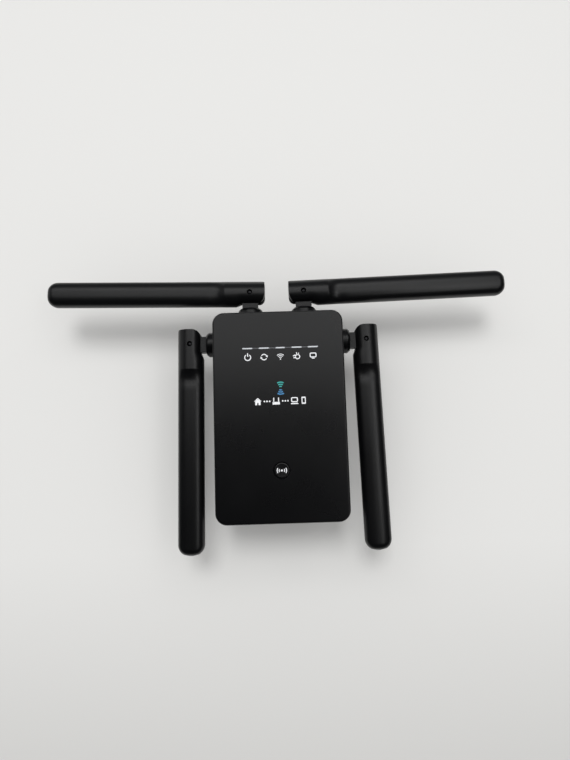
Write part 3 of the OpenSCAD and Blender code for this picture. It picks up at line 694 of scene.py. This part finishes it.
def heel_limit(u, s):
    """Keeps the knuckle's end inside its rounded outline."""
    if s < -1e-6:
        x = u + HEEL - HEEL_ROUND
        drop = math.sqrt(max(0.0, HEEL_ROUND**2 - min(0.0, x) ** 2))
        return (KNUCKLE_SIDE - HEEL_ROUND + drop) / -s
    if s > 1e-6:
        x = u + HEEL - HEEL_EDGE
        drop = math.sqrt(max(0.0, HEEL_EDGE**2 - min(0.0, x) ** 2))
        return (ARM_HALF_W - HEEL_EDGE + drop) / s
    return 1e3


def build_arm(arm):
    """Antenna shell: round knuckle with its slot and pin hole, scoop, flat paddle."""
    stations = [-HEEL, -HEEL + 0.03, -HEEL + 0.12, -HEEL + 0.3, -HEEL + 0.6, -HEEL + 0.9]
    stations += [-HEEL + HEEL_EDGE, -6, -5.4, -4.7, -4, -3.4, 0, SHOULDER[0] - 0.01]
    stations += [SHOULDER[0], 5.2, 6.2, SHOULDER[1], 10, KNUCKLE_END - 0.05]
    stations += [KNUCKLE_END + SCOOP_LEN * (k / 14) for k in range(15)]
    paddle_len = ARM_REACH - TIP_R - 2 - PADDLE_START
    stations += [PADDLE_START + paddle_len * k / 8 for k in range(9)]
    stations += [ARM_REACH - TIP_R * math.cos(math.radians(90 * k / 10)) for k in range(11)]
    stations = sorted(set(round(u, 4) for u in stations))
    b = Builder()
    rings = [arm_section(u) for u in stations]
    first = [(u, y * HEEL_INSET, z * HEEL_INSET) for u, y, z in rings[0]]
    ids = b.loft([first] + rings)
    b.cap(ids[0], flip=True)
    b.cap(ids[-1])
    obj = add_piece("antenna_shell_" + arm + "_body", b.verts, b.faces)
    tidy_normals(obj)
    cut(obj, [slot_cutter(), pin_cutter()])
    place = Matrix.Scale(MM, 4) @ arm_frame(arm) @ Matrix.Scale(1 / MM, 4)
    obj.data.transform(place)
    if place.determinant() < 0:
        obj.data.flip_normals()
    tidy_normals(obj)
    settle(obj, "arm_" + arm, "antenna_black", ARM, "antenna_shell_" + arm)


def prism(name, outline, half):
    """Closed prism along Y from an (x, z) outline."""
    b = Builder()
    ids = b.loft([at_y(outline, -half), at_y(outline, half)])
    b.cap(ids[0], flip=True)
    b.cap(ids[1])
    obj = add_piece(name, b.verts, b.faces)
    tidy_normals(obj)
    return obj


def slot_cutter():
    """The hinge slot: open towards the heel and towards the housing side."""
    r = SHOULDER[0]
    outline = [(-CLEAR_OF_ARM, -CLEAR_OF_ARM), (r, -CLEAR_OF_ARM), (r, 0.0)]
    for k in range(1, 12):
        a = math.radians(90 * k / 12)
        outline.append((r * math.cos(a), r * math.sin(a)))
    outline += [(0.0, r), (-CLEAR_OF_ARM, r)]
    return prism("slot_tool", outline, SLOT_HALF_T)


def pin_cutter():
    """The pin hole through both ears with a small countersink at each end."""
    b = Builder()
    path = [(r, -y) for r, y in PIN_HOLE_MOUTH] + list(reversed(PIN_HOLE_MOUTH))
    ids = b.loft([at_y(circle_points(r, 40), y) for r, y in path])
    b.cap(ids[0], flip=True)
    b.cap(ids[-1])
    obj = add_piece("pin_tool", b.verts, b.faces)
    tidy_normals(obj)
    return obj


for arm in ARMS:
    build_arm(arm)
    node_name = "antenna_base_" + arm
    settle(refined(node_name, 0.14), "foot_" + arm, "antenna_black", FOOT, node_name)
    node_name = "hinge_pin_" + arm
    settle(refined(node_name, 0.8, 4), "arm_" + arm, "pin_steel", DARK_STEEL, node_name)


# ---------------------------------------------------------------- printed symbols

INK_T = 0.035
INK_SUNK = 0.02
ICON_Z = SLIT_Z - 4.6


def arc_strip(r, width, start, end, steps=24):
    """Outline of an arc band, angles in degrees, as (x, z) pairs."""
    outside, inside = [], []
    for k in range(steps + 1):
        a = math.radians(start + (end - start) * k / steps)
        outside.append(((r + width / 2) * math.cos(a), (r + width / 2) * math.sin(a)))
        inside.append(((r - width / 2) * math.cos(a), (r - width / 2) * math.sin(a)))
    return outside + inside[::-1]


def bar(x0, z0, x1, z1, width):
    """Outline of a straight stroke with round ends."""
    d = Vector((x1 - x0, z1 - z0))
    a0 = math.degrees(math.atan2(d.y, d.x))
    points = []
    for cx, cz, base in ((x1, z1, a0 - 90), (x0, z0, a0 + 90)):
        for k in range(9):
            a = math.radians(base + 180 * k / 8)
            points.append((cx + width / 2 * math.cos(a), cz + width / 2 * math.sin(a)))
    return points


def shift(outline, dx, dz):
    """Outline moved by (dx, dz)."""
    return [(x + dx, z + dz) for x, z in outline]


def build_print(name, outlines, x, z, material, body=HOUSING, y=FRONT_Y):
    """Thin raised ink shapes on the front face, one object."""
    b = Builder()
    for outline in outlines:
        ids = b.loft([at_y(outline, y + INK_SUNK, x, z), at_y(outline, y - INK_T, x, z)])
        b.sheet([ids[1]])
        b.sheet([ids[0]], flip=True)
    obj = add_piece(name, b.verts, b.faces)
    tidy_normals(obj)
    settle(obj, body, "light_white", material)


def icon_power():
    """An open ring with a stroke through its gap."""
    return [arc_strip(1.5, 0.5, 125, 415), bar(0, 0.6, 0, 2.0, 0.5)]


def icon_sync():
    """Two curved arrows chasing each other."""
    parts = []
    for turn in (0, 180):
        parts.append(rotate_outline(arc_strip(1.4, 0.46, 25, 150), turn))
        head = [(1.9, 0.8), (0.72, 0.5), (1.65, -0.35)]
        parts.append(rotate_outline(head, turn))
    return parts


def rotate_outline(outline, degrees):
    """Outline turned about the origin."""
    a = math.radians(degrees)
    c, s = math.cos(a), math.sin(a)
    return [(x * c - z * s, x * s + z * c) for x, z in outline]


def icon_waves():
    """A dot with three arcs over it."""
    parts = [shift(circle_points(0.32, 20), 0, -1.25)]
    for r in (0.95, 1.75, 2.55):
        parts.append(shift(arc_strip(r, 0.34, 48, 132), 0, -1.25))
    return parts


def icon_socket():
    """A cable plug symbol: ring with a tail and two prongs."""
    parts = [shift(arc_strip(1.08, 0.46, 0, 359.9, 40), 0.4, -0.3)]
    parts.append(bar(-1.7, 0.15, -0.85, 0.55, 0.5))
    parts.append(bar(-1.5, -0.85, -0.95, -0.65, 0.44))
    parts.append(bar(-0.1, 1.75, 0.05, 0.95, 0.46))
    parts.append(bar(0.95, 1.55, 0.8, 0.9, 0.44))
    return parts


def frame_halves(outer, inner):
    """A frame between two outlines of the same length, as two shapes without a hole."""
    half = len(outer) // 2
    parts = []
    for start in (0, half):
        idx = [k % len(outer) for k in range(start, start + half + 1)]
        parts.append([outer[k] for k in idx] + [inner[k] for k in reversed(idx)])
    return parts


def icon_screen():
    """A screen with rounded corners over a short foot."""
    halves = frame_halves(rounded_rect(3.4, 2.5, 0.7, 6), rounded_rect(2.4, 1.5, 0.3, 6))
    parts = [shift(p, 0, 0.3) for p in halves]
    parts.append(bar(-0.55, -1.3, 0.55, -1.3, 0.42))
    return parts


ICONS = (
    ("icon_power", icon_power()),
    ("icon_sync", icon_sync()),
    ("icon_waves", icon_waves()),
    ("icon_socket", icon_socket()),
    ("icon_screen", icon_screen()),
)
for n, (icon_name, shapes) in enumerate(ICONS):
    build_print(icon_name, shapes, PRINT_X + (n - 2) * LED_PITCH, ICON_Z, INK)


def picture_house():
    """Roof and walls."""
    roof = [(-1.9, 0.1), (0.0, 1.85), (1.9, 0.1), (1.25, 0.1), (0.0, 1.2), (-1.25, 0.1)]
    walls = [(-1.35, 0.25), (-1.35, -1.75), (-0.35, -1.75), (-0.35, -0.7), (0.35, -0.7)]
    walls += [(0.35, -1.75), (1.35, -1.75), (1.35, 0.25), (0.0, 1.0)]
    return [roof, walls]


def picture_router():
    """A flat box with two aerials."""
    box = [(-1.8, -1.7), (1.8, -1.7), (1.8, -0.4), (-1.8, -0.4)]
    return [box, bar(-1.2, -0.4, -1.2, 1.5, 0.5), bar(1.2, -0.4, 1.2, 1.5, 0.5)]


def picture_laptop():
    """A screen over a base."""
    screen = icon_screen()[:2]
    base = [(-2.0, -1.75), (2.0, -1.75), (1.6, -1.15), (-1.6, -1.15)]
    return [shift(p, 0, 0.15) for p in screen] + [base]


def picture_phone():
    """A tall rounded frame."""
    return frame_halves(rounded_rect(2.1, 3.6, 0.4, 5), rounded_rect(1.2, 2.2, 0.15, 5))


def picture_link():
    """Three dots in a row."""
    return [shift(circle_points(0.42, 16), x, 0) for x in (-1.3, 0.0, 1.3)]


ROW_X = 0.5
ROW_Z = MID_Z + 7.0
ROW_PITCH = 4.55
PICTURES = (
    ("picture_house", picture_house()),
    ("picture_link_left", picture_link()),
    ("picture_router", picture_router()),
    ("picture_link_right", picture_link()),
    ("picture_laptop", picture_laptop()),
    ("picture_phone", picture_phone()),
)
for n, (picture_name, shapes) in enumerate(PICTURES):
    build_print(picture_name, shapes, ROW_X + (n - 2.5) * ROW_PITCH, ROW_Z, INK)


MARK_X = 0.6
MARK_Z = MID_Z + 13.4


def fan(middle, dz):
    """Three nested arcs about the direction middle, in degrees, lifted by dz."""
    return [shift(arc_strip(r, 0.6, middle - 28, middle + 28), 0, dz) for r in (1.3, 2.35, 3.4)]


build_print("mark_upper_arcs", fan(90, -0.4), MARK_X, MARK_Z, INK_TEAL)
build_print("mark_lower_arcs", fan(270, 0.4), MARK_X, MARK_Z, INK_BLUE)


def build_button_symbol():
    """A dot with an arc on each side, printed in the button's dish."""
    outlines = [circle_points(0.5, 20)]
    for start in (-32, 148):
        for r in (1.35, 2.3):
            outlines.append(arc_strip(r, 0.42, start, start + 64, 12))
    y = BUTTON_TOP_Y + 0.12
    build_print("button_symbol", outlines, 0, BUTTON_Z, INK, "pair_key", y)


build_button_symbol()


# ---------------------------------------------------------------- stage, light, camera, in metres

SHEET_HALF = 2.0
CAMERA_PLACE = (0.0015, -0.3119, -0.0258)
CAMERA_FORWARD = (0.005, 0.9923, 0.1235)
CAMERA_UP = (0.031, -0.1236, 0.9918)
CAMERA_LENS = 27.09


def add_area(name, location, target, size, power):
    """A rectangular area light aimed at a point, in metres and watts."""
    data = bpy.data.lights.new(name, "AREA")
    data.shape = "RECTANGLE"
    data.size, data.size_y = size
    data.energy = power
    obj = bpy.data.objects.new(name, data)
    obj.location = location
    aim = Vector(target) - Vector(location)
    obj.rotation_euler = aim.to_track_quat("-Z", "Y").to_euler()
    bpy.context.scene.collection.objects.link(obj)


def add_overhead(towards, strength, spread):
    """Soft parallel light for the sheet and its shadows; it leaves no reflection."""
    data = bpy.data.lights.new("overhead", "SUN")
    data.energy = strength
    data.angle = math.radians(spread)
    obj = bpy.data.objects.new("overhead", data)
    obj.rotation_euler = (-Vector(towards)).to_track_quat("-Z", "Y").to_euler()
    obj.visible_glossy = False
    bpy.context.scene.collection.objects.link(obj)


def build_stage():
    """A pale upright sheet just behind the blades' tips, clear when seen from its back."""
    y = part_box("plug_blade_left")[1][1] + 0.5 * MM
    mesh = bpy.data.meshes.new("backdrop")
    s = SHEET_HALF
    mesh.from_pydata([(-s, y, -s), (s, y, -s), (s, y, s), (-s, y, s)], [], [(0, 1, 2, 3)])
    obj = bpy.data.objects.new("backdrop", mesh)
    bpy.context.scene.collection.objects.link(obj)
    mat, tree, shader = node_tree("backdrop_paper")
    coord = tree.nodes.new("ShaderNodeTexCoord")
    split = tree.nodes.new("ShaderNodeSeparateXYZ")
    tree.links.new(coord.outputs["Object"], split.inputs["Vector"])
    # The sheet is painted darker towards its bottom: painted falloff of light.
    painted_falloff = ramp(tree, split.outputs["Z"], -0.2, -0.08, 0.0, 1.0)
    paper = blend_colours(tree, painted_falloff, (0.54, 0.537, 0.525), (0.655, 0.652, 0.64))
    tree.links.new(paper, shader.inputs["Base Color"])
    shader.inputs["Roughness"].default_value = 0.9
    shader.inputs["Specular IOR Level"].default_value = 0.0
    clear = tree.nodes.new("ShaderNodeBsdfTransparent")
    geometry = tree.nodes.new("ShaderNodeNewGeometry")
    choose = tree.nodes.new("ShaderNodeMixShader")
    out = next(n for n in tree.nodes if n.type == "OUTPUT_MATERIAL")
    tree.links.new(geometry.outputs["Backfacing"], choose.inputs[0])
    tree.links.new(shader.outputs["BSDF"], choose.inputs[1])
    tree.links.new(clear.outputs["BSDF"], choose.inputs[2])
    tree.links.new(choose.outputs["Shader"], out.inputs["Surface"])
    mesh.materials.append(mat)
    obj.visible_shadow = False


def build_world():
    """Pale surroundings: a dim room for reflections, paper white where the camera looks, painted
    darker towards the bottom.
    """
    world = bpy.data.worlds.new("studio")
    bpy.context.scene.world = world
    world.use_nodes = True
    tree = world.node_tree
    back = tree.nodes["Background"]
    coord = tree.nodes.new("ShaderNodeTexCoord")
    split = tree.nodes.new("ShaderNodeSeparateXYZ")
    tree.links.new(coord.outputs["Generated"], split.inputs["Vector"])
    up = ramp(tree, split.outputs["Z"], 0.05, 0.9, 0.0, 1.0)
    room = blend_colours(tree, up, (0.005, 0.005, 0.0055), (0.13, 0.132, 0.14))
    behind = ramp(tree, split.outputs["Y"], -0.1, 0.6, 0.0, 1.0)
    room = blend_colours(tree, behind, room, (0.5, 0.5, 0.51))
    # The paper white that the camera sees is painted darker towards the bottom: painted falloff of
    # light.
    painted_falloff = ramp(tree, split.outputs["Z"], -0.55, 0.15, 0.0, 1.0)
    paper = blend_colours(tree, painted_falloff, (0.52, 0.515, 0.505), (0.775, 0.77, 0.755))
    path = tree.nodes.new("ShaderNodeLightPath")
    lit = blend_colours(tree, path.outputs["Is Glossy Ray"], (0.64, 0.64, 0.64), room)
    seen = blend_colours(tree, path.outputs["Is Camera Ray"], lit, paper)
    tree.links.new(seen, back.inputs["Color"])
    back.inputs["Strength"].default_value = 1.0


def build_camera():
    """Nearly square to the front face, from slightly below its middle."""
    data = bpy.data.cameras.new("camera")
    data.lens = CAMERA_LENS
    data.sensor_width = 36.0
    data.sensor_fit = "AUTO"
    data.clip_start = 0.01
    obj = bpy.data.objects.new("camera", data)
    forward = Vector(CAMERA_FORWARD).normalized()
    up = Vector(CAMERA_UP)
    up = (up - forward * up.dot(forward)).normalized()
    right = forward.cross(up)
    basis = Matrix((right, up, -forward)).transposed()
    obj.matrix_world = Matrix.Translation(CAMERA_PLACE) @ basis.to_4x4()
    bpy.context.scene.collection.objects.link(obj)
    bpy.context.scene.camera = obj


bpy.context.scene.view_settings.view_transform = "Standard"
build_stage()
build_world()
build_camera()
add_area("key_low", (0.03, -0.72, 0.2), (0, 0, 0.01), (1.0, 0.2), 0.72)
add_area("key_high", (-0.05, -0.62, 0.4), (0, 0, 0.03), (0.9, 0.16), 0.9)
add_area("fill_right", (0.3, -0.67, -0.02), (0, 0, 0), (0.12, 0.36), 0.34)
add_overhead((-0.05, -0.93, 0.36), 1.08, 20.0)
add_area("fill_left", (-0.8, -0.3, 0.3), (0, 0, 0), (0.5, 0.5), 0.35)
add_area("back_soft", (-0.5, 0.9, 0.5), (0, 0, 0), (0.9, 0.9), 5.0)
